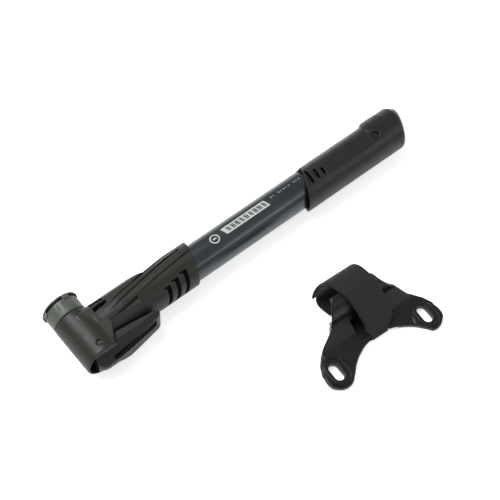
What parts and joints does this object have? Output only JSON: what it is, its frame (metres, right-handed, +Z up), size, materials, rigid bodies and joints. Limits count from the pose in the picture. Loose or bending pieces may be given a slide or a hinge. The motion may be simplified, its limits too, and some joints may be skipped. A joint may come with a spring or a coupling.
{
  "type": "bicycle mini pump",
  "caption": "Bicycle mini pump with a thumb-lever valve head, sliding handle and piston, lying beside its frame bracket and strap.",
  "frame": {"origin": "middle of the whole set's footprint, on the floor it lies on", "axes": "+X along the barrel from the head to the handle, +Y the way the valve opening faces, +Z up"},
  "size_m": [0.2484, 0.14, 0.0282],
  "materials": {
    "head_plastic": "satin moulded, warm near-black",
    "lever_plastic": "satin moulded, warm near-black",
    "grip_plastic": "satin moulded, warm near-black",
    "cap_plastic": "satin moulded, dark grey",
    "collar_plastic": "satin moulded, grey-green",
    "ring_plastic": "satin moulded, black",
    "bush_plastic": "plain moulded, black",
    "white_plastic": "plain moulded, off-white",
    "bracket_plastic": "semi-gloss moulded, black",
    "barrel_alloy": "anodised dark blue-grey, satin gloss",
    "rod_alloy": "drawn, bright",
    "pin_steel": "blackened",
    "seal_rubber": "smooth, black",
    "strap_fabric": "woven, dark grey-green",
    "hook_fabric": "hook side, black"
  },
  "bodies": {
    "pump_body": {"head_body": "head_plastic", "lever_pin": "pin_steel", "valve_seal": "seal_rubber", "barrel_tube": "barrel_alloy", "barrel_gasket": "seal_rubber", "check_valve_seat": "white_plastic", "check_valve_flap": "seal_rubber", "rod_guide_bush": "bush_plastic", "rod_wiper": "seal_rubber"},
    "lever": {"thumb_lever": "lever_plastic"},
    "plunger": {"clamp_plunger": "white_plastic", "plunger_oring": "seal_rubber"},
    "collar": {"valve_collar": "collar_plastic", "collar_end_ring": "ring_plastic"},
    "handle": {"handle_grip": "grip_plastic", "handle_end_cap": "cap_plastic", "piston_rod": "rod_alloy", "rod_socket": "bush_plastic", "handle_cross_pin": "pin_steel", "piston": "white_plastic", "piston_seal_ring": "seal_rubber"},
    "bracket": {"bracket_plate": "bracket_plastic", "strap": "strap_fabric", "strap_hook_patch": "hook_fabric"}
  },
  "joints": [
    {"name": "lever_hinge", "type": "hinge", "parent": "pump_body", "child": "lever", "pos_m": [-0.11123, 0.03207, 0.0129], "axis": [0, 0, -1], "range_deg": [0, 90]},
    {"name": "plunger_slide", "type": "slide", "parent": "pump_body", "child": "plunger", "axis": [0, 1, 0], "range_m": [0, 0.0026]},
    {"name": "collar_turn", "type": "hinge", "parent": "pump_body", "child": "collar", "pos_m": [-0.11253, 0.04467, 0.0129], "axis": [0, 1, 0], "range_deg": [0, 360]},
    {"name": "handle_slide", "type": "slide", "parent": "pump_body", "child": "handle", "axis": [1, 0, 0], "range_m": [0, 0.138]},
    {"name": "bracket_lift", "type": "slide", "parent": "pump_body", "child": "bracket", "axis": [0, 0, 1], "range_m": [0, 0.15]}
  ],
  "couplings": [
    {"joint": "plunger_slide", "follows": "lever_hinge", "m_per_rad": 0.0015915}
  ]
}
